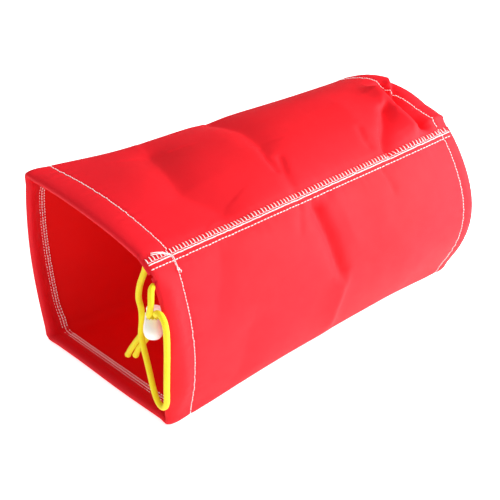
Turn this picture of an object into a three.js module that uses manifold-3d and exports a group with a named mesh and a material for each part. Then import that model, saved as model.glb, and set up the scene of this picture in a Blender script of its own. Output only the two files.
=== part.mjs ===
// Small fabric agility tunnel: one cloth panel rolled into an open sleeve and closed by a lapped
// seam, a drawcord running in the hem of the front mouth, and a spring cord lock on its two ends.
//
// Millimetres, +Z up. The tunnel lies on its flat underside at z = 0, its bore runs along Y, the
// mouth with the drawcord faces -Y, and the seam runs along the +X, +Z shoulder.

import * as THREE from 'three';
import { mergeVertices } from 'three/addons/utils/BufferGeometryUtils.js';
import Module from 'manifold-3d';

// ---------------------------------------------------------------------------------------------
// Driving dimensions

const LENGTH = 434;
const CLOTH = 1;
const GAP = 0.3;

// A cross-section is four soft corners joined by sides that bow outwards. Corners and sides are
// listed in the order seam corner, top left, bottom left, bottom right; side k leaves corner k.
const MOUTH = {
  corners: [[66, 183], [-124, 209], [-130, 0], [76.5, 0]],
  rounding: [20, 12, 14, 12],
  bow: [8, 13, 0, 15.5],
};
const REAR = {
  corners: [[96, 189], [-82, 199], [-43, 0], [107.5, 0]],
  rounding: [30, 30, 26, 20],
  bow: [36, 47, 0, 38],
};

// Distances around the section are measured from the seam corner, positive over the top.
const LAP_EDGE = 6.5;
const LAP_UNDER = -8;
const LAP_RAMP = 15;
const CHANNEL_MOUTH = 30;
const SHOULDER = 20;
const SEAM_CLEAR = 1;

// Hems: how far each stitch line and each turned-in raw edge lies from its mouth.
const FRONT_STITCH = 27;
const FRONT_RAW_EDGE = 32;
const REAR_STITCH = 17;
const REAR_RAW_EDGE = 22;
const STITCH_DIMPLE = 0.8;
const THREAD = 0.5;
const STITCH_WIDTH = 1.2;
const OVERLOCK_WIDTH = 5.4;
const EDGE_THREAD_WIDTH = 3.4;
const LOCKSTITCH_AT = -4.6;

// Where the front stitch line ends: a loose thread, as pairs of distance around the section and
// from the mouth, and the place of its knot.
const THREAD_TAIL = [[5, 26], [9, 20], [13, 13]];
const KNOT_RADIUS = 1.6;
const KNOT_AT = -12;

const CORD = 6;
const CORD_FROM_MOUTH = 7;
const CORD_EXIT = 23;

// The lock hangs by its two cords, turned to the front right and leaning back. Heights in it are
// measured along its own axis from the cords' centre line in its hole.
const LOCK_PLACE = [57.1, -209.1, 118.6];
const LOCK_TURN = THREE.MathUtils.degToRad(44);
const LOCK_LEAN = THREE.MathUtils.degToRad(48);
const LOCK_BOTTOM = -21.5;
const LOCK_RIM = 4.6;
const LOCK_FACE = 9.6;
const HOLE_WIDTH = 12.9;
const HOLE_LOW = -4.6;
const HOLE_TOP = 3.3;
const BUTTON_TRAVEL = 1.5;
const PLUNGER_WIDTH = 14.2;
const PLUNGER_DEPTH = 5;
const PLUNGER_FOOT = -7.4;
const WELL_FLOOR = -18.6;
const WELL_RADIUS = 2.9;
const SPRING_RADIUS = 2;
const SPRING_WIRE = 0.8;
const SPRING_TURNS = 6;
const OVERCUT = 1;

// Half profiles of the lock's egg and of the button's head, as pairs of radius and height above
// the lowest point.
const EGG = [
  [0, 0], [4.4, 0.8], [7.6, 3.5], [9.3, 7.5], [9.6, 11], [9.3, 15], [8.8, 19.5], [8.5, 25.1],
  [8.1, 26.1], [0, 26.1],
];
const BUTTON_HEAD = [
  [0, 0], [7, 0], [7.6, 0.6], [7.6, 2], [6.4, 3.7], [4, 4.7], [0, 5],
];

// How finely the pieces are divided. The rows across a stitch line are in stitch widths from it.
const SIDE_COLUMNS = 11;
const CORNER_COLUMNS = 6;
const STITCH_ROWS = [-2, -0.9, 0.9, 2];
const BODY_ROWS = 7;
const SEAM_THREAD_ROWS = 14;
const CHANNEL_STEPS = 68;
const CORD_SIDES = 8;
const CORD_STEP = 8.5;
const TAIL_STEPS = 8;
const KNOT_STEPS = [12, 8];
const LATHE_STEPS = 28;
const WIRE_SIDES = 6;
const WIRE_STEPS_A_TURN = 12;
const MERGE_DISTANCE = 1e-4;

// ---------------------------------------------------------------------------------------------
// Worked-out values

const FRONT_Y = -LENGTH / 2;
const REAR_Y = LENGTH / 2;
const LAYER = CLOTH + GAP;
const CORD_INSET = LAYER + CORD / 2;
const CORD_Y = FRONT_Y + CORD_FROM_MOUTH;
const CHANNEL_INSET = LAYER + CORD + 3 * GAP;
const TURNBACK_INSET = LAYER + STITCH_DIMPLE;
const LOCK_ATTITUDE = new THREE.Euler(-LOCK_LEAN, 0, LOCK_TURN, 'ZXY');
const BUTTON_UNDER = LOCK_RIM + BUTTON_TRAVEL + GAP;
const POCKET_FLOOR = PLUNGER_FOOT - BUTTON_TRAVEL - GAP;

const FABRIC_RED = 0xe8242f;
const FABRIC_INNER = 0xc00509;
const CORD_YELLOW = 0xf6ec2a;
const THREAD_WHITE = 0xf4e9e6;
const LOCK_WHITE = 0xf7f5ee;
const BUTTON_WHITE = 0xeadfd8;
const SPRING_STEEL = 0xb9bcc0;

// ---------------------------------------------------------------------------------------------
// Cross-sections

const mix = (a, b, t) => a + (b - a) * t;

function sectionAt(y) {
  const t = (y - FRONT_Y) / LENGTH;
  const corner = (k) => new THREE.Vector2(
    mix(MOUTH.corners[k][0], REAR.corners[k][0], t),
    mix(MOUTH.corners[k][1], REAR.corners[k][1], t),
  );
  const sides = [0, 1, 2, 3];
  return {
    corners: sides.map(corner),
    rounding: sides.map((k) => mix(MOUTH.rounding[k], REAR.rounding[k], t)),
    bow: sides.map((k) => mix(MOUTH.bow[k], REAR.bow[k], t)),
  };
}

// A bowed side is a quadratic curve, and so is any stretch cut from it.
function sideCurve(section, k) {
  const start = section.corners[k];
  const end = section.corners[(k + 1) % 4];
  const along = end.clone().sub(start);
  const outward = new THREE.Vector2(along.y, -along.x).normalize();
  const control = start.clone().add(end).multiplyScalar(0.5)
    .addScaledVector(outward, 2 * section.bow[k]);
  return new THREE.QuadraticBezierCurve(start, control, end);
}

function meet(p, pDirection, q, qDirection) {
  const across = pDirection.x * qDirection.y - pDirection.y * qDirection.x;
  const span = q.clone().sub(p);
  const reach = (span.x * qDirection.y - span.y * qDirection.x) / across;
  return p.clone().addScaledVector(pDirection, reach);
}

function trim(curve, from, to) {
  const start = curve.getPoint(from);
  const end = curve.getPoint(to);
  const control = meet(start, curve.getTangent(from), end, curve.getTangent(to));
  const straight = Number.isFinite(control.x) ? control : start.clone().lerp(end, 0.5);
  return new THREE.QuadraticBezierCurve(start, straight, end);
}

// The closed outline of the outer face, with its length and the place of the seam corner on it.
function makeOutline(y) {
  const section = sectionAt(y);
  const length = (k) => section.corners[k].distanceTo(section.corners[(k + 1) % 4]);
  const sides = [0, 1, 2, 3].map((k) => trim(
    sideCurve(section, k),
    section.rounding[k] / length(k),
    1 - section.rounding[(k + 1) % 4] / length(k),
  ));
  const path = new THREE.CurvePath();
  sides.forEach((side, k) => {
    const before = sides[(k + 3) % 4];
    const knee = meet(before.v2, before.getTangent(1), side.v0, side.getTangent(0));
    path.add(new THREE.QuadraticBezierCurve(before.v2, knee, side.v0));
    path.add(side);
  });
  const joins = path.getCurveLengths();
  const seamCorner = joins[0] / 2;
  return { path, seamCorner, joins: joins.map((at) => at - seamCorner), length: joins[7] };
}

const outlines = new Map();

function outlineAt(y) {
  if (!outlines.has(y)) outlines.set(y, makeOutline(y));
  return outlines.get(y);
}

// The point at a distance around the section, a distance from the mouth and a depth under the
// outer face; a depth below zero stands proud of the cloth.
function clothPoint(around, y, depth) {
  const { path, seamCorner, length } = outlineAt(y);
  const share = ((around + seamCorner) / length % 1 + 1) % 1;
  const p = path.getPointAt(share);
  const tangent = path.getTangentAt(share);
  return new THREE.Vector3(p.x - depth * tangent.y, y, p.y + depth * tangent.x);
}

// How far a stitch line pulls the cloth in at a distance y from the front.
function dimple(y) {
  const away = Math.min(
    Math.abs(y - FRONT_Y - FRONT_STITCH),
    Math.abs(REAR_Y - REAR_STITCH - y),
  );
  return away < STITCH_WIDTH ? STITCH_DIMPLE : 0;
}

// The lower layer of the lapped seam sits one layer in, and climbs back beyond the raw edge.
function lapDepth(around, perimeter) {
  if (around > perimeter / 2) return 0;
  const climb = (around - LAP_EDGE) / (LAP_RAMP - LAP_EDGE);
  return LAYER * (1 - THREE.MathUtils.clamp(climb, 0, 1));
}

// ---------------------------------------------------------------------------------------------
// Solids from sheets, beads and tubes

// A closed solid between two faces of the same grid.
function sheetSolid(rows, columns, outerAt, innerAt) {
  const positions = [];
  const index = [];
  for (const place of [outerAt, innerAt]) {
    for (let r = 0; r < rows; r += 1) {
      for (let c = 0; c < columns; c += 1) positions.push(...place(r, c).toArray());
    }
  }
  const inner = rows * columns;
  const lastRow = rows - 1;
  const lastColumn = columns - 1;
  const at = (r, c, base) => base + r * columns + c;
  const quad = (a, b, c, d) => index.push(a, b, c, a, c, d);
  for (let r = 0; r < lastRow; r += 1) {
    for (let c = 0; c < lastColumn; c += 1) {
      quad(at(r, c, 0), at(r, c + 1, 0), at(r + 1, c + 1, 0), at(r + 1, c, 0));
      quad(at(r, c, inner), at(r + 1, c, inner), at(r + 1, c + 1, inner), at(r, c + 1, inner));
    }
    quad(at(r, 0, 0), at(r + 1, 0, 0), at(r + 1, 0, inner), at(r, 0, inner));
    quad(
      at(r, lastColumn, 0), at(r, lastColumn, inner),
      at(r + 1, lastColumn, inner), at(r + 1, lastColumn, 0),
    );
  }
  for (let c = 0; c < lastColumn; c += 1) {
    quad(at(0, c, 0), at(0, c, inner), at(0, c + 1, inner), at(0, c + 1, 0));
    quad(
      at(lastRow, c, 0), at(lastRow, c + 1, 0),
      at(lastRow, c + 1, inner), at(lastRow, c, inner),
    );
  }
  return closedGeometry(positions, index);
}

// Turns the faces outwards if the grid ran the other way.
function closedGeometry(positions, index) {
  const corner = (i) => new THREE.Vector3().fromArray(positions, 3 * i);
  let volume = 0;
  for (let i = 0; i < index.length; i += 3) {
    volume += corner(index[i]).dot(corner(index[i + 1]).cross(corner(index[i + 2])));
  }
  const facing = volume < 0 ? index.slice().reverse() : index;
  const geometry = new THREE.BufferGeometry();
  geometry.setAttribute('position', new THREE.Float32BufferAttribute(positions, 3));
  geometry.setIndex(facing);
  return geometry;
}

function spread(first, last, count) {
  return Array.from({ length: count }, (_, i) => mix(first, last, i / (count - 1)));
}

// Keeps only the positions, with shared vertices merged.
function bareGeometry(geometry) {
  const bare = geometry.clone();
  bare.deleteAttribute('normal');
  bare.deleteAttribute('uv');
  return mergeVertices(bare, MERGE_DISTANCE);
}

// A tube along a curve, with flat ends square to it.
function tubeAlong(curve, diameter, sides, steps) {
  const ring = new THREE.Shape(
    spread(0, 2 * Math.PI, sides + 1).slice(0, sides).map(
      (a) => new THREE.Vector2(Math.cos(a), Math.sin(a)).multiplyScalar(diameter / 2),
    ),
  );
  return bareGeometry(new THREE.ExtrudeGeometry(ring, { steps, extrudePath: curve }));
}

function cordAlong(points) {
  const curve = new THREE.CatmullRomCurve3(points, false, 'centripetal');
  return tubeAlong(curve, CORD, CORD_SIDES, Math.ceil(curve.getLength() / CORD_STEP));
}

// ---------------------------------------------------------------------------------------------
// Booleans

const wasm = await Module();
wasm.setup();

function toManifold(geometry) {
  const merged = bareGeometry(geometry);
  return new wasm.Manifold(new wasm.Mesh({
    numProp: 3,
    vertProperties: new Float32Array(merged.attributes.position.array),
    triVerts: new Uint32Array(merged.index.array),
  }));
}

function fromManifold(solid) {
  const mesh = solid.getMesh();
  const geometry = new THREE.BufferGeometry();
  geometry.setAttribute('position', new THREE.BufferAttribute(mesh.vertProperties, 3));
  geometry.setIndex(new THREE.BufferAttribute(mesh.triVerts, 1));
  return geometry;
}

// ---------------------------------------------------------------------------------------------
// Materials and nodes

function cloth(color) {
  return new THREE.MeshStandardMaterial({ color, roughness: 0.62, metalness: 0 });
}

function finish(color, roughness, metalness = 0) {
  return new THREE.MeshStandardMaterial({ color, roughness, metalness });
}

const materials = {
  outer: cloth(FABRIC_RED),
  inner: cloth(FABRIC_INNER),
  thread: finish(THREAD_WHITE, 0.7),
  cord: finish(CORD_YELLOW, 0.75),
  lock: finish(LOCK_WHITE, 0.35),
  button: finish(BUTTON_WHITE, 0.3),
  spring: finish(SPRING_STEEL, 0.3, 1),
};

const tunnel = new THREE.Group();
const cordLock = new THREE.Group();
tunnel.add(cordLock);

function addNode(parent, name, geometry, material) {
  const mesh = new THREE.Mesh(geometry, material);
  mesh.name = name;
  parent.add(mesh);
  return mesh;
}

// ---------------------------------------------------------------------------------------------
// The cloth

// Rows lie closer together at each stitch line, where the cloth dips.
function clothRows() {
  const dip = (y) => STITCH_ROWS.map((widths) => y + widths * STITCH_WIDTH);
  const front = dip(FRONT_Y + FRONT_STITCH);
  const rear = dip(REAR_Y - REAR_STITCH);
  const body = spread(front[front.length - 1], rear[0], BODY_ROWS).slice(1, -1);
  return [FRONT_Y, ...front, ...body, ...rear, REAR_Y];
}

// The places around a section where every layer has its vertices, so that layers lie parallel.
// They crowd together at the three soft corners away from the seam.
function places(y) {
  const { joins, length } = outlineAt(y);
  const side = (from, to) => spread(from, to, SIDE_COLUMNS);
  const corner = (k) => spread(joins[2 * k - 1], joins[2 * k], CORNER_COLUMNS).slice(1, -1);
  return {
    underLap: [LAP_UNDER, LAP_UNDER / 2, 0, LAP_EDGE],
    channel: [
      ...side(LAP_RAMP, joins[1]), ...corner(1), ...side(joins[2], joins[3]), ...corner(2),
      ...side(joins[4], joins[5]), ...corner(3), ...side(joins[6], length - CHANNEL_MOUTH),
    ],
    shoulder: [length - SHOULDER],
    lap: [length - SHOULDER / 2, length - SEAM_CLEAR, length + LAP_EDGE],
  };
}

// A solid between two depths, with a row of corners at each distance along the tunnel.
function layerSolid(rows, columnsAt, depthAt, thickness) {
  const around = rows.map((y) => columnsAt(places(y)));
  const place = (under) => (r, c) => (
    clothPoint(around[r][c], rows[r], depthAt(r, around[r][c]) + under)
  );
  return sheetSolid(rows.length, around[0].length, place(0), place(thickness));
}

function mainPanel() {
  const rows = clothRows();
  return layerSolid(
    rows,
    (p) => [...p.underLap, ...p.channel, ...p.shoulder, ...p.lap],
    (r, around) => lapDepth(around, outlineAt(rows[r]).length) + dimple(rows[r]),
    CLOTH,
  );
}

// The panel's own end, folded inwards. Its profile runs from the fold to the raw edge as pairs of
// distance from the mouth and depth under the outer face.
function turnback(profile, mouthY, inwards, columnsAt) {
  const rows = profile.map((p) => mouthY + inwards * p[0]);
  return layerSolid(rows, columnsAt, (r) => profile[r][1], CLOTH);
}

const channelColumns = (p) => p.channel;
const hemColumns = (p) => [...p.channel, ...p.shoulder];
const ringColumns = (p) => [0, LAP_EDGE, ...p.channel, ...p.shoulder, p.lap[0], p.lap[1]];

const FRONT_PROFILE = [
  [0, LAYER], [2, CORD_INSET], [4.5, CHANNEL_INSET], [9.5, CHANNEL_INSET], [15, 5.2],
  [22, TURNBACK_INSET], [FRONT_RAW_EDGE, TURNBACK_INSET],
];
const REAR_PROFILE = [[0, LAYER], [4, TURNBACK_INSET], [REAR_RAW_EDGE, TURNBACK_INSET]];

// ---------------------------------------------------------------------------------------------
// Threads, each a continuous bead just clear of the cloth

// A bead around the section, centred a distance y along the tunnel.
function beadAround(y, width, depth, columnsAt) {
  return layerSolid([y - width / 2, y + width / 2], columnsAt, () => depth, THREAD);
}

// A bead along the seam, between two distances around the section.
function beadAlong(from, to, depth) {
  const rows = spread(FRONT_Y + THREAD, REAR_Y - THREAD, SEAM_THREAD_ROWS);
  const edges = [from, to];
  return sheetSolid(
    rows.length, edges.length,
    (r, c) => clothPoint(edges[c], rows[r], depth),
    (r, c) => clothPoint(edges[c], rows[r], depth + THREAD),
  );
}

function addThreads() {
  const proud = -GAP - THREAD;
  const underLap = 2 * LAYER;
  const overlockEdge = LAP_EDGE - THREAD;
  const half = STITCH_WIDTH / 2;
  const frontY = FRONT_Y + FRONT_STITCH;
  const rearY = REAR_Y - REAR_STITCH;
  const inside = TURNBACK_INSET + LAYER;
  const add = (name, geometry) => addNode(tunnel, name, geometry, materials.thread);

  add('seam_overlock_thread', beadAlong(overlockEdge - OVERLOCK_WIDTH, overlockEdge, proud));
  add('seam_topstitch_thread', beadAlong(-half, half - GAP, proud));
  add('seam_lockstitch_thread', beadAlong(LOCKSTITCH_AT - half, LOCKSTITCH_AT + half, proud));
  add('seam_topstitch_bobbin_thread', beadAlong(-half, half, underLap + STITCH_DIMPLE));
  add('seam_lockstitch_bobbin_thread', beadAlong(
    LOCKSTITCH_AT - half, LOCKSTITCH_AT + half, underLap + STITCH_DIMPLE,
  ));
  add('front_hem_stitch_thread', beadAround(frontY, STITCH_WIDTH, 0, ringColumns));
  add('front_hem_bobbin_thread', beadAround(frontY, STITCH_WIDTH, inside, channelColumns));
  add('front_hem_overlock_thread', beadAround(
    FRONT_Y + FRONT_RAW_EDGE - EDGE_THREAD_WIDTH / 2, EDGE_THREAD_WIDTH, inside, channelColumns,
  ));
  add('rear_hem_stitch_thread', beadAround(rearY, STITCH_WIDTH, 0, ringColumns));
  add('rear_hem_bobbin_thread', beadAround(rearY, STITCH_WIDTH, inside, hemColumns));
  add('rear_hem_overlock_thread', beadAround(
    REAR_Y - REAR_RAW_EDGE + EDGE_THREAD_WIDTH / 2, EDGE_THREAD_WIDTH, inside, hemColumns,
  ));
}

// Where the front hem's stitch line crosses the seam: a loose thread end and a fastening knot.
function addThreadEnds() {
  const above = -2 * THREAD - 2 * GAP;
  const tail = new THREE.CatmullRomCurve3(
    THREAD_TAIL.map(([around, inwards]) => clothPoint(around, FRONT_Y + inwards, above)),
  );
  const tailTube = tubeAlong(tail, 2 * THREAD, CORD_SIDES, TAIL_STEPS);
  addNode(tunnel, 'hem_thread_tail', tailTube, materials.thread);
  const knot = bareGeometry(new THREE.SphereGeometry(KNOT_RADIUS, ...KNOT_STEPS));
  const place = clothPoint(KNOT_AT, FRONT_Y + FRONT_STITCH, -GAP - KNOT_RADIUS);
  addNode(tunnel, 'hem_thread_knot', knot, materials.thread).position.copy(place);
}

// ---------------------------------------------------------------------------------------------
// The drawcord

// The run inside the front hem, from its exit beside the seam round to the exit down the right.
function channelRoute() {
  const last = outlineAt(CORD_Y).length - CHANNEL_MOUTH;
  return spread(CORD_EXIT, last, CHANNEL_STEPS + 1)
    .map((around) => clothPoint(around, CORD_Y, CORD_INSET));
}

const vectors = (rows) => rows.map((row) => new THREE.Vector3(...row));

// The long end: out of the hem beside the seam, down in a loop and up towards the lock.
const LONG_END = [
  [49.2, -210.3, 183.6], [53.3, -211.3, 180.2], [54.5, -212.3, 175.3], [53.2, -213, 169.3],
  [50.2, -213.4, 162.5], [46.2, -213.5, 153.5], [42, -213, 140.8], [40.8, -212.5, 132.7],
  [41.9, -212, 125.9], [42.8, -212, 119], [42, -212, 107.7], [40.6, -213, 92.4],
  [42.9, -213.5, 81.1], [51.5, -216, 63], [61.6, -219.5, 42.5], [66, -220.5, 34.3],
  [70.8, -221.1, 29.4], [76.1, -221.3, 28.2], [80.6, -221.3, 32], [83, -221.3, 39.5],
  [84.2, -221.4, 54], [86.8, -221.7, 80], [88.8, -222, 99], [90.2, -222.4, 117],
  [90.2, -222.6, 128.5], [88, -222.5, 136.4], [83.5, -221.8, 140], [77.5, -220.5, 138.8],
  [71.5, -217.6, 134.2],
];

// The short end: up out of the hem on the right, over, and down towards the lock.
const SHORT_END = [
  [71, -210.7, 158], [69.6, -212.8, 161.2], [69.1, -216.6, 162.3], [70.1, -220, 160.5],
  [71.2, -221.8, 155.5], [71.3, -222.4, 149], [69.9, -222.2, 142], [66.8, -220.9, 135.5],
];

// Both cut ends leave the back of the lock and hang down behind it.
const LONG_TAIL = [
  [50.6, -198.2, 104.4], [46.5, -196.3, 98.5], [41.5, -196.2, 91.5], [35.5, -198.2, 82.5],
  [28.8, -201, 71.5], [21.5, -203, 59.5], [15.8, -204, 47.5],
];
const SHORT_TAIL = [
  [45.6, -202.8, 104.2], [40.8, -201.5, 97.5], [35, -201.8, 90], [28, -203.6, 80],
  [21, -205.6, 69], [14, -207, 57.5], [7.6, -207.5, 46],
];

// A place given in the lock's own frame, in the tunnel's frame.
function fromLock(right, away, up) {
  return new THREE.Vector3(right, away, up)
    .applyEuler(LOCK_ATTITUDE)
    .add(new THREE.Vector3(...LOCK_PLACE));
}

function addCord() {
  const add = (name, points) => addNode(tunnel, name, cordAlong(points), materials.cord);
  const run = channelRoute();
  const exitTop = run[0];
  const exitRight = run[run.length - 1];
  const side = HOLE_WIDTH / 4;
  const entry = (x) => [CORD / 2, GAP].map((away) => fromLock(x, -LOCK_FACE - away, 0));
  const through = (x) => [-LOCK_FACE, 0, LOCK_FACE].map((away) => fromLock(x, away, 0));

  addNode(
    tunnel, 'drawcord_channel_run',
    tubeAlong(new THREE.CatmullRomCurve3(run), CORD, CORD_SIDES, CHANNEL_STEPS), materials.cord,
  );
  const towardsSeam = exitTop.clone().sub(run[1]).normalize();
  const upwards = exitRight.clone().sub(run[run.length - 2]).normalize();
  add('drawcord_long_end', [
    exitTop.clone().addScaledVector(towardsSeam, GAP),
    ...vectors(LONG_END), ...entry(side),
  ]);
  add('drawcord_short_end', [
    exitRight.clone().addScaledVector(upwards, GAP),
    exitRight.clone().addScaledVector(upwards, CORD / 2),
    ...vectors(SHORT_END), ...entry(-side),
  ]);
  add('drawcord_long_tail', [...through(side), ...vectors(LONG_TAIL)]);
  add('drawcord_short_tail', [...through(-side), ...vectors(SHORT_TAIL)]);
}

// ---------------------------------------------------------------------------------------------
// The cord lock, built standing on its own axis about the cords' centre line in its hole

function turned(profile) {
  const half = profile.map(([radius, up]) => new THREE.Vector2(radius, up));
  return toManifold(new THREE.LatheGeometry(half, LATHE_STEPS).rotateX(Math.PI / 2));
}

function block(width, depth, bottom, top) {
  const box = new THREE.BoxGeometry(width, depth, top - bottom);
  return toManifold(box.translate(0, 0, (top + bottom) / 2));
}

const raised = (profile, bottom) => profile.map(([radius, up]) => [radius, bottom + up]);

function lockBody() {
  const pocket = block(
    PLUNGER_WIDTH + 2 * GAP, PLUNGER_DEPTH + 2 * GAP, POCKET_FLOOR, LOCK_RIM + OVERCUT,
  );
  const wellTop = POCKET_FLOOR + OVERCUT;
  const well = turned([
    [0, WELL_FLOOR], [WELL_RADIUS, WELL_FLOOR], [WELL_RADIUS, wellTop], [0, wellTop],
  ]);
  const hole = block(HOLE_WIDTH, 3 * LOCK_FACE, HOLE_LOW, HOLE_TOP);
  const egg = turned(raised(EGG, LOCK_BOTTOM));
  return fromManifold(egg.subtract(pocket).subtract(well).subtract(hole));
}

function lockButton() {
  const head = turned(raised(BUTTON_HEAD, BUTTON_UNDER));
  const stem = block(PLUNGER_WIDTH, PLUNGER_DEPTH, PLUNGER_FOOT, BUTTON_UNDER + OVERCUT);
  const slot = block(
    HOLE_WIDTH, 3 * PLUNGER_DEPTH, -CORD / 2 - GAP, HOLE_TOP + BUTTON_TRAVEL,
  );
  return fromManifold(head.add(stem).subtract(slot));
}

class Helix extends THREE.Curve {
  constructor(radius, turns, bottom, top) {
    super();
    Object.assign(this, { radius, turns, bottom, top });
  }

  getPoint(t, target = new THREE.Vector3()) {
    const angle = 2 * Math.PI * this.turns * t;
    return target.set(
      this.radius * Math.cos(angle), this.radius * Math.sin(angle), mix(this.bottom, this.top, t),
    );
  }
}

// The spring stands in its well at the length that it has when the button is pressed.
function lockSpring() {
  const clear = GAP + SPRING_WIRE / 2;
  const top = PLUNGER_FOOT - BUTTON_TRAVEL - clear;
  const coil = new Helix(SPRING_RADIUS, SPRING_TURNS, WELL_FLOOR + clear, top);
  return tubeAlong(coil, SPRING_WIRE, WIRE_SIDES, WIRE_STEPS_A_TURN * SPRING_TURNS);
}

function addLock() {
  cordLock.position.set(...LOCK_PLACE);
  cordLock.rotation.copy(LOCK_ATTITUDE);
  addNode(cordLock, 'cord_lock_body', lockBody(), materials.lock);
  addNode(cordLock, 'cord_lock_button', lockButton(), materials.button);
  addNode(cordLock, 'cord_lock_spring', lockSpring(), materials.spring);
}

// ---------------------------------------------------------------------------------------------
// Assembly

addNode(tunnel, 'main_panel', mainPanel(), materials.outer);
addNode(
  tunnel, 'front_hem_turnback',
  turnback(FRONT_PROFILE, FRONT_Y, 1, channelColumns), materials.inner,
);
addNode(
  tunnel, 'rear_hem_turnback',
  turnback(REAR_PROFILE, REAR_Y, -1, hemColumns), materials.inner,
);
addThreads();
addThreadEnds();
addCord();
addLock();

export default tunnel;
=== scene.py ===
import math

import bmesh
import bpy
import numpy as np
from mathutils import Matrix, Vector


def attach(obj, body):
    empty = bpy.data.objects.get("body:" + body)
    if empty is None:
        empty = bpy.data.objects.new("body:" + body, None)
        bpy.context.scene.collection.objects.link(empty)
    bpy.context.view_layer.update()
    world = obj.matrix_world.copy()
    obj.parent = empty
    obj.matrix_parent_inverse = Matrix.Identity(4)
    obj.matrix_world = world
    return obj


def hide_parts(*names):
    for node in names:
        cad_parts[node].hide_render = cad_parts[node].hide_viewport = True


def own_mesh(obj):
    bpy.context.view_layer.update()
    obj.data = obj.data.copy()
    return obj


# Looks of the small red fabric tunnel: one sewn sheet of cloth, its stitches, the yellow drawcord
# and the spring cord lock. Everything is in metres, in the CAD model's frame.

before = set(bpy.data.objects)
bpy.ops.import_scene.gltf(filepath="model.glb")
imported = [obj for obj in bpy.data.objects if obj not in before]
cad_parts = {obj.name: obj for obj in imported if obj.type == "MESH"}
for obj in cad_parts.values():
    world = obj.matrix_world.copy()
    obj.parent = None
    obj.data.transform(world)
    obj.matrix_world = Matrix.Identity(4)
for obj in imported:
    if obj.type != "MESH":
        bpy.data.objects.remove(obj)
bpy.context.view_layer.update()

# ----------------------------------------------------------
# Sizes

LENGTH = 0.434
FRONT = -LENGTH / 2
REAR = LENGTH / 2
MOUTH_SECTION = {
    "corners": ((0.066, 0.183), (-0.124, 0.209), (-0.130, 0.0), (0.0765, 0.0)),
    "rounding": (0.020, 0.012, 0.014, 0.012),
    "bow": (0.008, 0.013, 0.0, 0.0155),
}
REAR_SECTION = {
    "corners": ((0.096, 0.189), (-0.082, 0.199), (-0.043, 0.0), (0.1075, 0.0)),
    "rounding": (0.030, 0.030, 0.026, 0.020),
    "bow": (0.036, 0.047, 0.0, 0.038),
}

CLOTH = 0.0007
LAP_EDGE = 0.0065
LAP_UNDER = -0.008
LAP_STEP = 0.0009
LAP_RAMP = 0.0085
LAP_REACH = 0.2
CHANNEL_START = 0.0155
CHANNEL_END = 0.030

FRONT_STITCH = FRONT + 0.027
FRONT_RAW_EDGE = 0.032
REAR_STITCH = REAR - 0.017
REAR_RAW_EDGE = 0.022
STITCH_DIP = 0.0005
LOCKSTITCH_AT = -0.0048

CORD = 0.006
CORD_Y = FRONT + 0.007
CORD_DEPTH = 0.0043
CORD_EXIT = 0.023
PRESS_TRAVEL = 0.0015

# The lock hangs turned and leaning back; heights in it are from the cords' centre line in its hole.
LOCK_PLACE = (0.0571, -0.2091, 0.1186)
LOCK_TURN = math.radians(44)
LOCK_LEAN = math.radians(48)
LOCK_ATTITUDE = Matrix.Rotation(LOCK_TURN, 3, "Z") @ Matrix.Rotation(-LOCK_LEAN, 3, "X")
LOCK_FACE = 0.0096
HOLE_WIDTH = 0.0129
HOLE_LOW = -0.0046
HOLE_TOP = 0.0033
LOCK_BOTTOM = -0.0215
LOCK_RIM = 0.0046
BUTTON_UNDER = LOCK_RIM + PRESS_TRAVEL + 0.0003
PLUNGER_FOOT = -0.0074
WELL_FLOOR = -0.0186

random = np.random.default_rng(11)


# ----------------------------------------------------------
# Small helpers

def mix(a, b, t):
    return a + (b - a) * t


def ease(t):
    t = np.clip(t, 0.0, 1.0)
    return t * t * (3 - 2 * t)


def lengths_along(line):
    return np.concatenate([[0], np.cumsum(np.linalg.norm(np.diff(line, axis=0), axis=1))])


def evenly(line, count):
    """The same line with this many points, evenly apart."""
    along = lengths_along(line)
    even = np.linspace(0, along[-1], count)
    return np.stack([np.interp(even, along, line[:, k]) for k in range(line.shape[1])], axis=1)


def resampled(line, step):
    """The same line with its points evenly about a step apart."""
    return evenly(line, max(2, round(lengths_along(line)[-1] / step) + 1))


def unit(vectors):
    return vectors / np.linalg.norm(vectors, axis=-1, keepdims=True)


def smooth_line(points, step):
    """The centripetal curve through the points, which is what the CAD cord solids follow."""
    p = np.asarray(points, float)
    p = np.vstack([2 * p[0] - p[1], p, 2 * p[-1] - p[-2]])
    gap = np.sqrt(np.linalg.norm(np.diff(p, axis=0), axis=1))
    t = np.linspace(0, 1, 24, endpoint=False)[:, None]
    stretches = []
    for i in range(1, len(p) - 2):
        before, here, after = gap[i - 1:i + 2]
        leave = (p[i] - p[i - 1]) / before - (p[i + 1] - p[i - 1]) / (before + here)
        leave = (leave + (p[i + 1] - p[i]) / here) * here
        arrive = (p[i + 1] - p[i]) / here - (p[i + 2] - p[i]) / (here + after)
        arrive = (arrive + (p[i + 2] - p[i + 1]) / after) * here
        cubic = 2 * p[i] - 2 * p[i + 1] + leave + arrive
        square = -3 * p[i] + 3 * p[i + 1] - 2 * leave - arrive
        stretches.append(p[i] + leave * t + square * t ** 2 + cubic * t ** 3)
    return resampled(np.vstack([*stretches, p[-2:-1]]), step)


def place_object(name, data):
    obj = bpy.data.objects.new(name, data)
    bpy.context.scene.collection.objects.link(obj)
    return obj


def add_object(name, mesh, material, body, replaced):
    """A finished piece: its material, the body it rides on, and the CAD nodes it stands for."""
    obj = place_object(name, mesh)
    mesh.materials.append(material)
    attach(obj, body)
    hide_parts(*replaced)
    return obj


def build_mesh(name, vertices, faces, uvs=None):
    mesh = bpy.data.meshes.new(name)
    mesh.from_pydata(vertices.tolist(), [], faces)
    if uvs is not None:
        layer = mesh.uv_layers.new(name="UVMap")
        layer.data.foreach_set("uv", uvs.astype(np.float32).ravel())
    mesh.shade_smooth()
    mesh.update()
    return mesh


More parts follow.
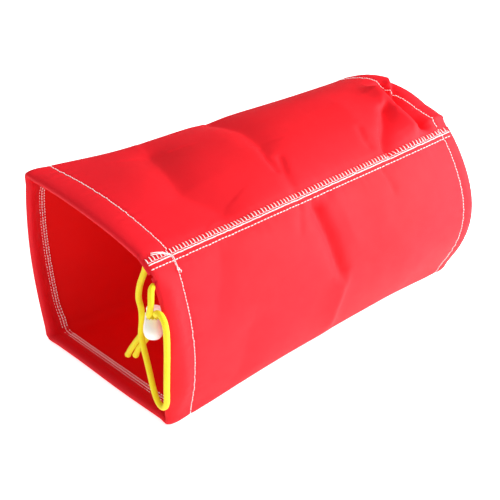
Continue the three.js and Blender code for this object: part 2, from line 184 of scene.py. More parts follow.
def tubes(name, lines, ups, radii, sides):
    """One mesh of many round tubes. lines and ups are (tubes, rings, 3), radii (rings, sides)."""
    lines, ups = np.asarray(lines, float), np.asarray(ups, float)
    count, rings = lines.shape[:2]
    ahead = unit(np.gradient(lines, axis=1))
    side = unit(np.cross(ahead, ups))
    up = np.cross(side, ahead)
    angle = np.linspace(0, 2 * math.pi, sides, endpoint=False)
    radii = np.broadcast_to(np.asarray(radii, float), (rings, sides))[None, :, :, None]
    ring = up[:, :, None] * np.cos(angle)[:, None] + side[:, :, None] * np.sin(angle)[:, None]
    vertices = (lines[:, :, None] + ring * radii).reshape(-1, 3)

    first = np.arange(count)[:, None, None] * rings * sides
    r = np.arange(rings - 1)[None, :, None] * sides
    s = np.arange(sides)[None, None, :]
    near, far = first + r + s, first + r + (s + 1) % sides
    quads = np.stack([near, far, far + sides, near + sides], axis=-1).reshape(-1, 4)
    start = (first[:, 0] + np.arange(sides)[::-1]).reshape(-1, sides)
    end = (first[:, 0] + (rings - 1) * sides + np.arange(sides)).reshape(-1, sides)

    travel = np.linalg.norm(np.diff(lines, axis=1), axis=2).cumsum(axis=1)
    travel = np.concatenate([np.zeros((count, 1)), travel], axis=1)[:, :, None]
    turn = np.arange(sides) / sides
    here, there = travel[:, :-1], travel[:, 1:]
    corners = [(here, turn), (here, turn + 1 / sides), (there, turn + 1 / sides), (there, turn)]
    shape = (count, rings - 1, sides)
    quad_uvs = np.stack(
        [np.stack(np.broadcast_arrays(a, b, np.empty(shape))[:2], -1) for a, b in corners], axis=3
    ).reshape(-1, 2)
    cap_uvs = np.stack([np.zeros(start.size * 2), np.tile(turn, 2 * count)], axis=1)
    faces = quads.tolist() + start.tolist() + end.tolist()
    return build_mesh(name, vertices, faces, np.vstack([quad_uvs, cap_uvs]))


# ----------------------------------------------------------
# The cloth's outer face

def bezier(a, b, c, t):
    t = np.asarray(t, float)[:, None]
    return (1 - t) ** 2 * a + 2 * t * (1 - t) * b + t * t * c


def meet(p, p_way, q, q_way):
    """Where two lines cross, or halfway between them where they run on into each other."""
    across = p_way[0] * q_way[1] - p_way[1] * q_way[0]
    if abs(across) < 1e-9:
        return (p + q) / 2
    span = q - p
    return p + p_way * ((span[0] * q_way[1] - span[1] * q_way[0]) / across)


PIECE_POINTS = 39

# Nothing stands out below this height, so that the underside stays flat; this much higher all does.
FLAT_TOP = 0.004
FLAT_FADE = 0.030


def outline(t):
    """The section a share t of the way to the rear: four rounded corners joined by bowed sides.
    Gives a closed line, and how far along it the middle of each corner lies."""
    def between(key):
        return mix(np.array(MOUTH_SECTION[key]), np.array(REAR_SECTION[key]), t)

    corners, rounding, bow = between("corners"), between("rounding"), between("bow")
    sides = []
    for k in range(4):
        a, b = corners[k], corners[(k + 1) % 4]
        length = np.linalg.norm(b - a)
        outward = np.array([b[1] - a[1], a[0] - b[0]]) / length
        knee = (a + b) / 2 + 2 * bow[k] * outward
        leave, arrive = rounding[k] / length, 1 - rounding[(k + 1) % 4] / length
        start, end = bezier(a, knee, b, [leave, arrive])
        start_way = mix(knee - a, b - knee, leave)
        end_way = mix(knee - a, b - knee, arrive)
        sides.append((start, start_way, end, end_way))
    shares = np.linspace(0, 1, PIECE_POINTS + 1)
    pieces = []
    for k in range(4):
        start, start_way, end, end_way = sides[k]
        last, last_way = sides[k - 1][2:]
        pieces.append(bezier(last, meet(last, last_way, start, start_way), start, shares)[:-1])
        pieces.append(bezier(start, meet(start, start_way, end, end_way), end, shares)[:-1])
    line = np.vstack([*pieces, pieces[0][:1]])
    middles = PIECE_POINTS * (2 * np.arange(4) + 0.5)
    return line, np.interp(middles, np.arange(len(line)), lengths_along(line))


class Skin:
    """The outer face, found by the distance around from the seam corner and the place along Y."""

    STATIONS = 110
    SAMPLES = 1600
    REACH = 0.0015

    def __init__(self):
        self.points = np.empty((self.STATIONS, self.SAMPLES + 1, 2))
        self.corners = np.empty((self.STATIONS, 4))
        self.girths = np.empty(self.STATIONS)
        for k, t in enumerate(np.linspace(0, 1, self.STATIONS)):
            line, self.corners[k] = outline(t)
            self.girths[k] = lengths_along(line)[-1]
            self.points[k] = evenly(line, self.SAMPLES + 1)

    def _between_stations(self, y):
        row = np.clip((y - FRONT) / LENGTH, 0, 1) * (self.STATIONS - 1)
        low = np.minimum(row.astype(int), self.STATIONS - 2)
        return low, row - low

    def girth(self, y):
        low, t = self._between_stations(np.asarray(y, float))
        return mix(self.girths[low], self.girths[low + 1], t)

    def corner(self, k, y):
        """Distance around from the seam corner to the middle of corner k."""
        low, t = self._between_stations(np.asarray(y, float))
        places = self.corners[:, k] - self.corners[:, 0]
        return mix(places[low], places[low + 1], t)

    def off(self, around, middle, y):
        """Signed distance around from a place, the shorter way."""
        girth = self.girth(y)
        return (around - middle + girth / 2) % girth - girth / 2

    def plain(self, around, y):
        low, t = self._between_stations(y)
        seam = mix(self.corners[low, 0], self.corners[low + 1, 0], t)
        place = (around + seam) / self.girth(y) % 1.0 * self.SAMPLES
        column = np.minimum(place.astype(int), self.SAMPLES - 1)
        side = (place - column)[..., None]
        near = mix(self.points[low, column], self.points[low, column + 1], side)
        far = mix(self.points[low + 1, column], self.points[low + 1, column + 1], side)
        return mix(near, far, t[..., None])

    def at(self, around, y, lift=0.0):
        """Points on the cloth, raised by lift, and the outward directions there."""
        around, y, lift = np.broadcast_arrays(*[np.asarray(v, float) for v in (around, y, lift)])
        place = narrowed_hem(self, around, y)
        way = unit(self.plain(around + self.REACH, place) - self.plain(around - self.REACH, place))
        outward = np.stack([way[..., 1], np.zeros_like(y), -way[..., 0]], axis=-1)
        flat = self.plain(around, place)
        base = np.stack([flat[..., 0], place, flat[..., 1]], axis=-1)
        rise = lift + self.relief(around, y, base[..., 2])
        points = base + outward * rise[..., None]
        points[..., 2] = np.maximum(points[..., 2], CLOTH / 2)
        return points, outward

    def relief(self, around, y, height):
        """How far folds and creases stand out. None stands out from the flat underside."""
        u = self.off(around, 0.0, y)
        rise = billow(u, y) + hem_shape(u, y) + crown_dent(u, y) + left_flare(self, u, y)
        for crease in CREASES:
            rise += crease_rise(u, y, *crease)
        rise = np.where(rise > 0, rise * ease((height - FLAT_TOP) / FLAT_FADE), rise)
        return rise + corner_pinch(self, u, y)


# Folds in the cloth, each a line of (distance around from the seam, place along Y), its half
# width towards the mouth and towards the rear, and how far it stands out. Below zero is a valley.
CREASES = (
    # the bowl beside the rear hem, the swell before it and the crisp fold before that
    (((0.096, 0.194), (0.068, 0.186), (0.040, 0.182), (0.020, 0.183)), 0.0070, 0.009, -0.0165),
    (((0.088, 0.176), (0.054, 0.168), (0.020, 0.166)), 0.013, 0.008, 0.0080),
    (((0.058, 0.156), (0.040, 0.139), (0.024, 0.121), (0.010, 0.112)), 0.005, 0.014, -0.0105),
    (((0.090, 0.118), (0.040, 0.104)), 0.020, 0.014, 0.0018),
    (((0.046, 0.102), (0.030, 0.095), (0.020, 0.094)), 0.004, 0.005, -0.0022),
    # the fold across the hem beside the seam
    (((0.022, 0.190), (0.017, 0.217)), 0.0030, 0.0034, 0.0030),
    # the arc across the crown, and the two short creases where it meets the seam
    (((0.170, -0.001), (0.120, -0.001), (0.084, -0.010)), 0.012, 0.020, -0.0052),
    (((0.076, -0.015), (0.060, -0.022), (0.040, -0.026)), 0.0035, 0.0050, -0.0032),
    (((0.054, -0.009), (0.034, -0.020)), 0.0030, 0.0040, -0.0026),
    # the hollow above the seam near the mouth
    (((0.144, -0.103), (0.064, -0.128), (0.022, -0.112)), 0.020, 0.026, -0.0068),
    # the folds down the seamed side, below the seam
    (((-0.016, -0.012), (-0.030, -0.010), (-0.056, -0.004), (-0.096, 0.004)), 0.011, 0.006, -0.0092),
    (((-0.012, 0.014), (-0.060, 0.022)), 0.010, 0.016, 0.0022),
    (((0.028, -0.023), (-0.002, -0.031), (-0.030, -0.042)), 0.006, 0.005, -0.0020),
    (((-0.008, 0.092), (-0.036, 0.096)), 0.005, 0.005, -0.0022),
    (((-0.104, 0.004), (-0.140, -0.004), (-0.176, -0.004)), 0.014, 0.008, 0.0044),
    (((-0.022, -0.142), (-0.068, -0.157)), 0.020, 0.020, -0.0030),
    (((-0.110, -0.118), (-0.160, -0.128)), 0.020, 0.026, -0.0032),
    (((-0.050, 0.070), (-0.150, 0.120)), 0.026, 0.030, 0.0022),
)


def crease_rise(u, y, line, before, after, height):
    """A fold along a bent line: nearest stretch first, sharp at the line, fading at its ends."""
    nearest = np.full_like(u, np.inf)
    rise = np.zeros_like(u)
    for start, end in zip(line, line[1:]):
        span = np.subtract(end, start)
        length = np.hypot(*span)
        along = ((u - start[0]) * span[0] + (y - start[1]) * span[1]) / length
        off = ((u - start[0]) * span[1] - (y - start[1]) * span[0]) / length
        first, last = start is line[0], end is line[-1]
        beyond = np.maximum(np.maximum(-along, along - length), 0)
        distance = np.hypot(off, beyond)
        width = np.where(off > 0, after, before)
        fading = np.where(first & (along < 0) | last & (along > length), 0.8, 1.0)
        shape = np.exp(-(distance / width / fading) ** 1.4)
        closer = distance < nearest
        nearest = np.where(closer, distance, nearest)
        rise = np.where(closer, shape, rise)
    return height * rise


# The crown's dent: its depth, a place on its step as (distance around, place along Y), its slant.
DENT_DEPTH = 0.0052
DENT_STEP = (0.092, 0.206)
DENT_SLANT = 1.2


def crown_dent(u, y):
    """The crown's rear edge has dropped beside the seam, with a sharp slanted step where it starts."""
    step = DENT_STEP[0] - DENT_SLANT * (DENT_STEP[1] - y)
    beside_seam = ease((step - u) / 0.004) * ease((u - 0.020) / 0.026)
    return -DENT_DEPTH * beside_seam * ease((y - 0.180) / 0.016)


def side_share(shape, first, last, around, y):
    """1 on the way from one corner to another and 0 elsewhere, with soft ends."""
    start, end = shape.corner(first, y), shape.corner(last, y)
    off = shape.off(around, (start + end) / 2, y)
    return ease(((end - start) / 2 + 0.004 - np.abs(off)) / 0.040)


FLARE_HEIGHT = 0.0060
HEM_NARROWING = 0.20


def left_flare(shape, u, y):
    """The far wall swells behind the mouth."""
    inwards = y - FRONT
    wall = side_share(shape, 1, 2, u, y)
    return FLARE_HEIGHT * wall * ease(inwards / 0.030) * (1 - ease((inwards - 0.035) / 0.110))


# The pinched corners: which corner, half width, height, and how far in it reaches. The first three
# start at the mouth and the last at the rear.
PINCHES = (
    (1, 0.0065, 0.0042, 0.120),
    (2, 0.0080, 0.0030, 0.150),
    (3, 0.0060, 0.0042, 0.180),
)
REAR_PINCH = (3, 0.011, 0.0055, 0.120)


def pinch(shape, u, y, inwards, k, half_width, height, reach):
    off = shape.off(u, shape.corner(k, y), y)
    return height * np.exp(-((off / half_width) ** 2)) * (1 - ease(inwards / reach))


def corner_pinch(shape, u, y):
    """Fold lines that sharpen the mouth's three corners away from the seam, and one at the rear."""
    rise = sum(pinch(shape, u, y, y - FRONT, *corner) for corner in PINCHES)
    return rise + pinch(shape, u, y, REAR - y, *REAR_PINCH)


def narrowed_hem(shape, around, y):
    """The front hem is turned in less along the far wall and the underside."""
    inwards = y - FRONT
    narrow = HEM_NARROWING * side_share(shape, 1, 3, around, y)
    return y - narrow * inwards * (1 - ease((inwards - 0.032) / 0.080))


BILLOWS = [
    (*random.uniform((18, 12), (48, 34)), *random.uniform(0, 2 * math.pi, 2), random.uniform(0.5, 1))
    for _ in range(6)
]


def billow(u, y):
    """The slow, uneven wave of limp cloth."""
    wave = sum(a * np.sin(fu * u + p) * np.sin(fy * y + q) for fu, fy, p, q, a in BILLOWS)
    return 0.0007 * wave


PUCKERS = [
    (random.uniform(380, 780), random.uniform(0, 2 * math.pi), random.uniform(0.4, 1))
    for _ in range(5)
]


def pucker(along, away, reach):
    """The short waves that a tight stitch line gathers the cloth into."""
    wave = sum(a * np.sin(f * along + p) for f, p, a in PUCKERS)
    return 0.00016 * wave * np.exp(-((away / reach) ** 2))


# How far the mouth's edge stands out (in, below zero) going down the seamed side.
EDGE_PLACES = (0.0, 0.014, 0.036, 0.076, 0.104, 0.124, 0.160, 0.178)
EDGE_ROLL = (0.0, 0.0024, 0.0042, 0.0038, -0.0006, -0.0024, -0.0022, 0.0)


def seamed_side(u):
    """1 down the seamed wall and 0 elsewhere, with soft ends."""
    return ease((-u - 0.010) / 0.02) * ease((u + 0.185) / 0.05)


def hem_shape(u, y):
    """The hems' puff between fold and stitches, the rolled edge of the mouth, and the puckers."""
    front = np.clip((y - FRONT) / (FRONT_STITCH - FRONT), 0, 1)
    rear = np.clip((REAR - y) / (REAR - REAR_STITCH), 0, 1)
    puff = (0.0006 + 0.0028 * seamed_side(u)) * np.sin(math.pi * front) ** 2
    puff += 0.0006 * np.sin(math.pi * rear) ** 2
    roll = np.interp(-u, EDGE_PLACES, EDGE_ROLL) * (1 - ease(front / 0.8))
    roll -= 0.0008 * (1 - ease(front / 0.3))
    ripples = pucker(u, y - FRONT_STITCH, 0.012) + pucker(u + 0.07, y - REAR_STITCH, 0.012)
    ripples += pucker(y, u, 0.016)
    return puff + roll + ripples


def stitch_dip(y):
    """How far the stitch lines pull the outer layer in."""
    away = np.minimum(np.abs(y - FRONT_STITCH), np.abs(y - REAR_STITCH))
    return STITCH_DIP * np.exp(-((away / 0.002) ** 2))


def seam_drift(y):
    """The seam wanders from the shoulder's middle, over it at the mouth and under it at the rear."""
    return mix(0.0012, -0.0026, (y - FRONT) / LENGTH)


def lap_drop(around, y):
    """How far the layer under the lap lies in; it climbs back beyond the lap's raw edge."""
    climb = (around - seam_drift(y) - LAP_EDGE) / LAP_RAMP
    return np.where(around < LAP_REACH, LAP_STEP * (1 - ease(climb)), 0.0)


skin = Skin()


# ----------------------------------------------------------
# Camera

def aim(obj, way):
    """Turns a camera or a light so that it looks along a direction."""
    obj.rotation_mode = "QUATERNION"
    obj.rotation_quaternion = Vector(way).to_track_quat("-Z", "Y")


def add_camera():
    camera = place_object("camera", bpy.data.cameras.new("camera"))
    camera.location = (0.5704, -0.6118, 0.5800)
    aim(camera, (-0.5955, 0.6166, -0.5150))
    camera.data.sensor_width = 36
    camera.data.lens = 61.2
    camera.data.clip_start = 0.01
    camera.data.clip_end = 20
    bpy.context.scene.camera = camera


add_camera()


# ----------------------------------------------------------
# Materials

class Surface:
    """A Principled material and the few node calls that its texture takes."""

    def __init__(self, name, **sockets):
        self.material = bpy.data.materials.new(name)
        self.material.use_nodes = True
        self.tree = self.material.node_tree
        self.shader = self.tree.nodes["Principled BSDF"]
        for socket, value in sockets.items():
            self.shader.inputs[socket.replace("_", " ")].default_value = value

    def node(self, kind, **settings):
        node = self.tree.nodes.new("ShaderNode" + kind)
        for key, value in settings.items():
            setattr(node, key, value)
        return node

    def link(self, source, target):
        self.tree.links.new(source, target)

    def math(self, operation, a, b=0.0):
        node = self.node("Math", operation=operation)
        for socket, value in zip(node.inputs, (a, b)):
            if isinstance(value, (int, float)):
                socket.default_value = value
            else:
                self.link(value, socket)
        return node.outputs[0]

    def uv(self):
        split = self.node("SeparateXYZ")
        self.link(self.node("TexCoord").outputs["UV"], split.inputs[0])
        return split.outputs[0], split.outputs[1]

    def wave(self, source, frequency, phase=0.0):
        return self.math("SINE", self.math("ADD", self.math("MULTIPLY", source, frequency), phase))

    def noise(self, scale, detail=2.0):
        noise = self.node("TexNoise")
        noise.inputs["Scale"].default_value = scale
        noise.inputs["Detail"].default_value = detail
        self.link(self.node("TexCoord").outputs["Object"], noise.inputs["Vector"])
        return noise.outputs["Fac"]

    def ramp(self, source, low, high, start=0.3, end=0.7):
        """A colour between low and high as the source goes from start to end."""
        ramp = self.node("ValToRGB")
        for element, place, color in zip(ramp.color_ramp.elements, (start, end), (low, high)):
            element.position = place
            element.color = (*color, 1)
        self.link(source, ramp.inputs[0])
        return ramp.outputs[0]

    def range(self, source, low, high):
        node = self.node("MapRange")
        self.link(source, node.inputs["Value"])
        node.inputs["To Min"].default_value = low
        node.inputs["To Max"].default_value = high
        return node.outputs[0]

    def bump(self, height, distance):
        bump = self.node("Bump")
        bump.inputs["Distance"].default_value = distance
        self.link(height, bump.inputs["Height"])
        self.link(bump.outputs[0], self.shader.inputs["Normal"])

    def set(self, socket, source):
        self.link(source, self.shader.inputs[socket])


WEAVE_PITCH = 0.0013


def weave_height(surface):
    """Plain weave: warp and weft threads that pass over and under each other."""
    u, v = surface.uv()
    threads = 2 * math.pi / WEAVE_PITCH
    over = surface.math("MULTIPLY", surface.wave(u, threads), surface.wave(v, threads))
    ribs = surface.math("ABSOLUTE", surface.wave(u, threads, math.pi / 2))
    over = surface.math("MULTIPLY", over, 0.5)
    return surface.math("ADD", over, surface.math("MULTIPLY", ribs, 0.3))


def cloth_material(name, dark, light, relief, roughness):
    surface = Surface(name, Specular_IOR_Level=0.31)
    height = weave_height(surface)
    uneven = surface.math("ADD", surface.noise(7.0, 5.0), surface.math("MULTIPLY", height, 0.10))
    surface.set("Base Color", surface.ramp(uneven, dark, light, 0.30, 0.75))
    surface.set("Roughness", surface.range(surface.noise(60.0), roughness - 0.06, roughness + 0.08))
    slub = surface.math("MULTIPLY", surface.noise(900.0, 1.0), 0.5)
    surface.bump(surface.math("ADD", height, slub), relief)
    return surface.material


def thread_material():
    """Twisted polyester thread: the ply runs round it as a fine spiral."""
    # The faint pinkish white glow is painted light: it keeps the threads bright where they lie in
    # shade inside the tunnel.
    surface = Surface("thread", Sheen_Weight=0.25, Specular_IOR_Level=0.4, Emission_Strength=0.34,
                      Emission_Color=(1.0, 0.84, 0.86, 1.0))
    along, turn = surface.uv()
    spiral = surface.math("ADD", surface.math("MULTIPLY", along, 900.0), turn)
    ply = surface.math("SINE", surface.math("MULTIPLY", spiral, 4 * math.pi))
    shade = surface.math("ADD", surface.math("MULTIPLY", ply, 0.25), surface.noise(400.0))
    surface.set("Base Color", surface.ramp(shade, (0.74, 0.62, 0.62), (0.93, 0.90, 0.89), 0.2, 0.7))
    surface.set("Roughness", surface.range(surface.noise(200.0), 0.45, 0.65))
    surface.bump(ply, 0.00012)
    return surface.material


def cord_material():
    """Braided cord: bright yellow carriers crossing in both directions."""
    # The faint orange glow is painted light: it stands in for red light bounced from the cloth onto
    # the cord's shaded side.
    surface = Surface("cord", Sheen_Weight=0.1, Specular_IOR_Level=0.3, Emission_Strength=0.12,
                      Emission_Color=(1.0, 0.64, 0.0, 1.0))
    along, turn = surface.uv()
    turns = surface.math("MULTIPLY", turn, 16 * math.pi)
    climb = surface.math("MULTIPLY", along, 2 * math.pi / 0.0016)
    one_way = surface.math("SINE", surface.math("ADD", turns, climb))
    other_way = surface.math("SINE", surface.math("SUBTRACT", turns, climb))
    braid = surface.math("MAXIMUM", one_way, other_way)
    shade = surface.math("ADD", surface.math("MULTIPLY", braid, 0.3), surface.noise(120.0))
    yellow = surface.ramp(shade, (0.88, 0.64, 0.002), (0.98, 0.88, 0.012), 0.15, 0.6)
    surface.set("Base Color", yellow)
    surface.set("Roughness", surface.range(surface.noise(150.0), 0.48, 0.62))
    surface.bump(braid, 0.00022)
    return surface.material


def moulded_material(name, dark, light, roughness, **sockets):
    """Moulded plastic: slightly uneven in colour and gloss, with a faint orange-peel skin."""
    surface = Surface(name, **sockets)
    surface.set("Base Color", surface.ramp(surface.noise(70.0, 3.0), dark, light))
    surface.set("Roughness", surface.range(surface.noise(220.0), roughness, roughness + 0.12))
    surface.bump(surface.noise(900.0), 0.00003)
    return surface.material


def steel_material():
    surface = Surface("spring_steel", Metallic=1.0)
    grey = surface.ramp(surface.noise(300.0), (0.5, 0.5, 0.52), (0.75, 0.76, 0.78))
    surface.set("Base Color", grey)
    surface.set("Roughness", surface.range(surface.noise(900.0), 0.2, 0.35))
    surface.bump(surface.noise(1500.0), 0.00001)
    return surface.material


OUTER_CLOTH = cloth_material(
    "cloth_face", (0.80, 0.003, 0.011), (0.95, 0.006, 0.019), 0.00016, 0.70
)
# The reverse face's purer red, with less green and blue than the outer face, is painted shade: it
# stands for the deeper red that light bounced about inside the tunnel takes on.
REVERSE_CLOTH = cloth_material(
    "cloth_reverse", (0.84, 0.0008, 0.001), (0.94, 0.0016, 0.002), 0.00010, 0.65
)
THREAD_WHITE = thread_material()
CORD_YELLOW = cord_material()
# The lock body's faint white glow is painted light: it brightens the lock everywhere and lifts its
# shade.
LOCK_WHITE = moulded_material(
    "lock_plastic", (0.94, 0.92, 0.88), (0.98, 0.97, 0.95), 0.26,
    Subsurface_Weight=0.15, Subsurface_Scale=0.004, Coat_Weight=0.2,
    Emission_Color=(1.0, 0.97, 0.93, 1.0), Emission_Strength=0.14,
)
# The button's faint pink glow is painted light: it lifts the shadow that the cords cast on it and
# stands in for red light from the cloth shining through it.
BUTTON_MILKY = moulded_material(
    "button_plastic", (0.93, 0.84, 0.83), (0.97, 0.91, 0.90), 0.22,
    Transmission_Weight=0.15, Subsurface_Weight=0.3, Subsurface_Scale=0.006, Coat_Weight=0.3,
    Emission_Color=(1.0, 0.84, 0.82, 1.0), Emission_Strength=0.30,
)
SPRING_STEEL = steel_material()


# ----------------------------------------------------------
# The drawcord

# The long end: out of the hem beside the seam, down in a loop and up towards the lock.
LONG_END = (
    (0.0492, -0.2103, 0.1836), (0.0533, -0.2113, 0.1802), (0.0545, -0.2123, 0.1753),
    (0.0532, -0.2130, 0.1693), (0.0502, -0.2134, 0.1625), (0.0462, -0.2135, 0.1535),
    (0.0420, -0.2130, 0.1408), (0.0408, -0.2125, 0.1327), (0.0419, -0.2120, 0.1259),
    (0.0428, -0.2120, 0.1190), (0.0420, -0.2120, 0.1077), (0.0406, -0.2130, 0.0924),
    (0.0429, -0.2135, 0.0811), (0.0515, -0.2160, 0.0630), (0.0616, -0.2195, 0.0425),
    (0.0660, -0.2205, 0.0343), (0.0708, -0.2211, 0.0294), (0.0761, -0.2213, 0.0282),
    (0.0806, -0.2213, 0.0320), (0.0830, -0.2213, 0.0395), (0.0842, -0.2214, 0.0540),
    (0.0868, -0.2217, 0.0800), (0.0888, -0.2220, 0.0990), (0.0902, -0.2224, 0.1170),
    (0.0902, -0.2226, 0.1285), (0.0880, -0.2225, 0.1364), (0.0835, -0.2218, 0.1400),
    (0.0775, -0.2205, 0.1388), (0.0715, -0.2176, 0.1342),
)

# The short end: up out of the hem on the right, over, and down towards the lock.
SHORT_END = (
    (0.0710, -0.2107, 0.1580), (0.0696, -0.2128, 0.1612), (0.0691, -0.2166, 0.1623),
    (0.0701, -0.2200, 0.1605), (0.0712, -0.2218, 0.1555), (0.0713, -0.2224, 0.1490),
    (0.0699, -0.2222, 0.1420), (0.0668, -0.2209, 0.1355),
)

# Both cut ends leave the back of the lock and hang down behind it.
LONG_TAIL = (
    (0.0506, -0.1982, 0.1044), (0.0465, -0.1963, 0.0985), (0.0415, -0.1962, 0.0915),
    (0.0355, -0.1982, 0.0825), (0.0288, -0.2010, 0.0715), (0.0215, -0.2030, 0.0595),
    (0.0158, -0.2040, 0.0475),
)
SHORT_TAIL = (
    (0.0456, -0.2028, 0.1042), (0.0408, -0.2015, 0.0975), (0.0350, -0.2018, 0.0900),
    (0.0280, -0.2036, 0.0800), (0.0210, -0.2056, 0.0690), (0.0140, -0.2070, 0.0575),
    (0.0076, -0.2075, 0.0460),
)


def from_lock(right, away, up):
    """A place in the lock's own frame, in the tunnel's frame."""
    return np.array(LOCK_ATTITUDE @ Vector((right, away, up)) + Vector(LOCK_PLACE))


def carried_ups(line):
    """A direction square to the line at each point, carried along it without twist."""
    ahead = unit(np.gradient(line, axis=0))
    up = np.cross(ahead[0], (0.3, 0.5, 0.8))
    ups = []
    for way in ahead:
        up = unit(up - way * (up @ way))
        ups.append(up)
    return np.array(ups)


def cord_radii(count, step, sides, cut_end):
    """Radius at each ring and side: crossing carriers, and a blunt melted end where it is cut."""
    along = np.arange(count)[:, None] * step
    turn = 2 * math.pi * np.arange(sides)[None, :] / sides
    climb = 2 * math.pi * along / 0.009
    braid = np.maximum(np.sin(6 * turn + 6 * climb), np.sin(6 * turn - 6 * climb))
    radius = CORD / 2 * (1 + 0.035 * (braid - 0.5))
    if cut_end:
        left = (count - 1 - np.arange(count))[:, None] * step
        radius = radius * (1 + 0.10 * np.exp(-((left - 0.0022) / 0.0014) ** 2))
        radius = radius * np.sqrt(np.clip((left + 0.0001) / 0.0012, 0.06, 1))
    return radius


def drawcord_piece(name, node, points, body, step=0.0009, sides=36, cut_end=False):
    line = smooth_line(points, step)
    radii = cord_radii(len(line), step, sides, cut_end)
    mesh = tubes(name, [line], [carried_ups(line)], radii, sides)
    obj = add_object(name, mesh, CORD_YELLOW, body, [node])
    return obj, line


def channel_route():
    around = np.linspace(CORD_EXIT, skin.girth(CORD_Y) - CHANNEL_END, 69)
    return skin.at(around, CORD_Y, -CORD_DEPTH)[0]


def make_drawcord():
    """The run in the channel, the two ends up to the lock and the two tails from it."""
    run = channel_route()
    drawcord_piece("cord_in_channel", "drawcord_channel_run", run, "tunnel", 0.003, 16)
    up_out = unit(run[-1] - run[-2]) * CORD / 2
    side = HOLE_WIDTH / 4
    strands = (
        ("long", side, [run[0], *LONG_END], LONG_TAIL),
        ("short", -side, [run[-1], run[-1] + up_out, *SHORT_END], SHORT_TAIL),
    )
    ends, tails = [], []
    for name, x, out, _ in strands:
        entry = [from_lock(x, -LOCK_FACE - away, 0) for away in (CORD / 2, 0.0003)]
        ends.append(drawcord_piece(
            f"cord_{name}_end", f"drawcord_{name}_end", [*out, *entry], "tunnel"
        ))
    for name, x, _, tail in strands:
        through = [from_lock(x, away, 0) for away in (-LOCK_FACE, 0, LOCK_FACE)]
        tails.append(drawcord_piece(
            f"cord_{name}_tail", f"drawcord_{name}_tail", [*through, *tail], "cord_lock",
            cut_end=True,
        ))
    return ends, tails


cord_ends, cord_tails = make_drawcord()


# ----------------------------------------------------------
# The cord lock

def combine(obj, operation, other):
    """Cuts or joins another solid, which goes."""
    modifier = obj.modifiers.new("combine", "BOOLEAN")
    modifier.operation = operation
    modifier.solver = "EXACT"
    modifier.object = other
    apply_modifiers(obj)
    bpy.data.objects.remove(other)


def apply_modifiers(obj):
    bpy.context.view_layer.update()
    evaluated = obj.evaluated_get(bpy.context.evaluated_depsgraph_get())
    obj.data = bpy.data.meshes.new_from_object(evaluated)
    obj.modifiers.clear()


def lathe(profile, steps):
    """A closed solid of revolution about the lock's axis, from the profile's radius and height."""
    profile = np.asarray(profile, float)
    angle = np.linspace(0, 2 * math.pi, steps, endpoint=False)
    rings = [[(0.0, 0.0, profile[0, 1])]]
    for radius, z in profile[1:-1]:
        rings.append([(radius * math.cos(a), radius * math.sin(a), z) for a in angle])
    rings.append([(0.0, 0.0, profile[-1, 1])])
    vertices = np.array([p for ring in rings for p in ring])
    faces = []
    last = len(profile) - 3
    for s in range(steps):
        after = (s + 1) % steps
        faces.append((0, 1 + after, 1 + s))
        for r in range(last):
            a, b = 1 + r * steps, 1 + (r + 1) * steps
            faces.append((a + s, a + after, b + after, b + s))
        faces.append((1 + last * steps + s, 1 + last * steps + after, len(vertices) - 1))
    return vertices, faces


def lock_solid(name, vertices, faces, material, node, body):
    turned = np.array([from_lock(*p) for p in vertices])
    return add_object(name, build_mesh(name, turned, faces), material, body, [node])


# Rings of the cord hole: the place along it from the lock's axis, and how many times as wide.
HOLE_LIPS = (
    (-0.012, 1.16), (-0.0092, 1.06), (-0.008, 1.0), (0.008, 1.0), (0.0092, 1.06), (0.012, 1.16),
)


def hole_cutter():
    """The cord hole, with a flared lip at each face and small gripping teeth along its floor."""
    half_width, teeth = HOLE_WIDTH / 2, 4
    crown = [(half_width * math.cos(a), HOLE_TOP * math.sin(a) ** 0.4)
             for a in np.linspace(0, math.pi, 17)]
    floor = []
    for k in range(2 * teeth + 1):
        x = mix(-half_width, half_width, k / (2 * teeth)) * 0.94
        floor.append((x, HOLE_LOW + (0.0016 if k % 2 else 0.0)))
    section = np.array(crown + floor)
    rings = []
    for away, grow in HOLE_LIPS:
        rings.append([from_lock(x * grow, away, z * grow) for x, z in section])
    count = len(section)
    last = (len(rings) - 1) * count
    faces = [tuple(range(count)), tuple(range(last + count - 1, last - 1, -1))]
    for r in range(len(rings) - 1):
        for s in range(count):
            after = (s + 1) % count
            near, far = r * count, (r + 1) * count
            faces.append((near + after, near + s, far + s, far + after))
    return place_object("hole", build_mesh("hole", np.array(rings).reshape(-1, 3), faces))


def block(name, half_x, half_y, low, high):
    """A box about the lock's axis."""
    foot = ((-half_x, -half_y), (half_x, -half_y), (half_x, half_y), (-half_x, half_y))
    vertices = np.array([from_lock(x, y, z) for z in (low, high) for x, y in foot])
    faces = [(3, 2, 1, 0), (4, 5, 6, 7), (0, 1, 5, 4), (1, 2, 6, 5), (2, 3, 7, 6), (3, 0, 4, 7)]
    return place_object(name, build_mesh(name, vertices, faces))


# Half profiles of the egg over its bottom and of the button's dome over its underside.
EGG = (
    (0.0, 0.0), (0.0044, 0.0008), (0.0076, 0.0035), (0.0093, 0.0075), (0.0096, 0.0110),
    (0.0093, 0.0150), (0.0087, 0.0195),
)
DOME = (
    (0.0068, 0.0), (0.0075, 0.0007), (0.0076, 0.0021), (0.0070, 0.0035), (0.0048, 0.0046),
    (0.0018, 0.0050),
)
DOME_HEIGHT = 0.0050


